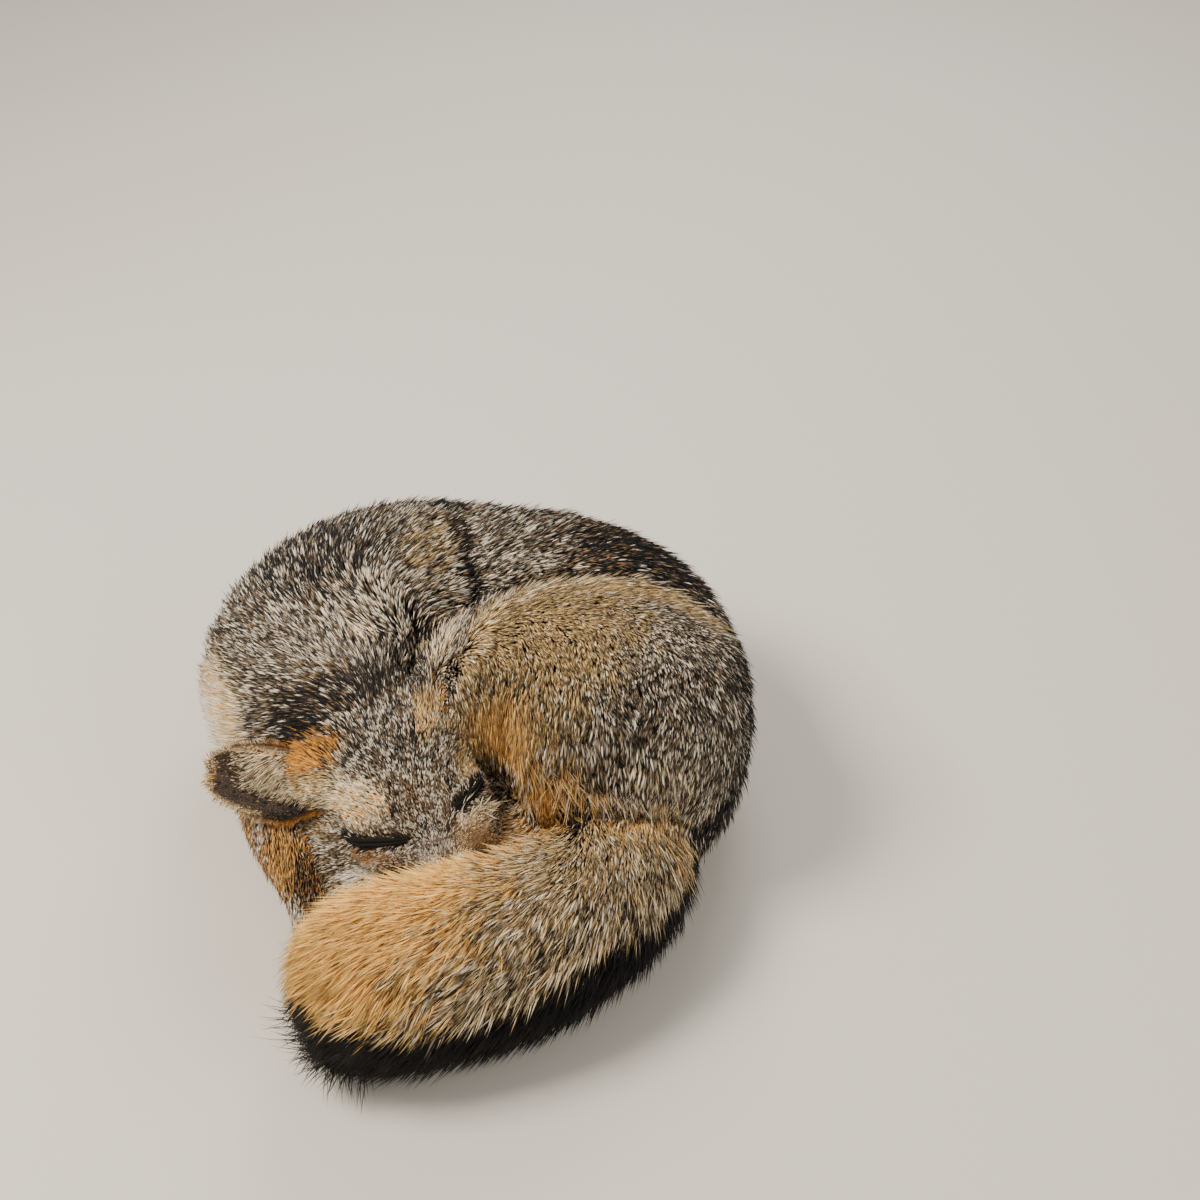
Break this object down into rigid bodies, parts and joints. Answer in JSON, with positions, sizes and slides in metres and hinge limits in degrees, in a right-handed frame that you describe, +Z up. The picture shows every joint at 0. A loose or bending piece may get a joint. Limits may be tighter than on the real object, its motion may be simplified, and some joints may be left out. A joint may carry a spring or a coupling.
{
  "type": "taxidermy gray fox",
  "caption": "Curled-up sleeping gray fox, a life-size soft mount with grizzled fur, closed eyes and the tail wrapped over its muzzle.",
  "frame": {"origin": "under the middle of the curl, at the level it rests on", "axes": "+Z up, +X to the side of the rump, +Y towards the back of the curl; the tail lies at -Y"},
  "size_m": [0.317, 0.3578, 0.1573],
  "materials": {
    "coat": "grizzled grey fur, dark hairs with pale bands",
    "leg_coat": "short rufous fur",
    "tail_coat": "long tawny fur with a black stripe",
    "ear_coat": "short fur, dark inside and orange behind",
    "nose_leather": "dull black leather",
    "closed_eye": "black rims of closed lids"
  },
  "bodies": {
    "root": {"chest": "coat", "ear_left": "ear_coat", "ear_right": "ear_coat", "eye_left": "closed_eye", "eye_right": "closed_eye", "foreleg_left": "leg_coat", "foreleg_right": "leg_coat", "head": "coat", "hindleg_left_foot": "leg_coat", "hindleg_left_shank": "leg_coat", "hindleg_left_thigh": "coat", "hindleg_right_foot": "leg_coat", "hindleg_right_thigh": "leg_coat", "loin": "coat", "neck": "coat", "nose": "nose_leather", "rump": "coat", "tail_base": "tail_coat", "tail_middle": "tail_coat", "tail_tip": "tail_coat"}
  },
  "joints": []
}
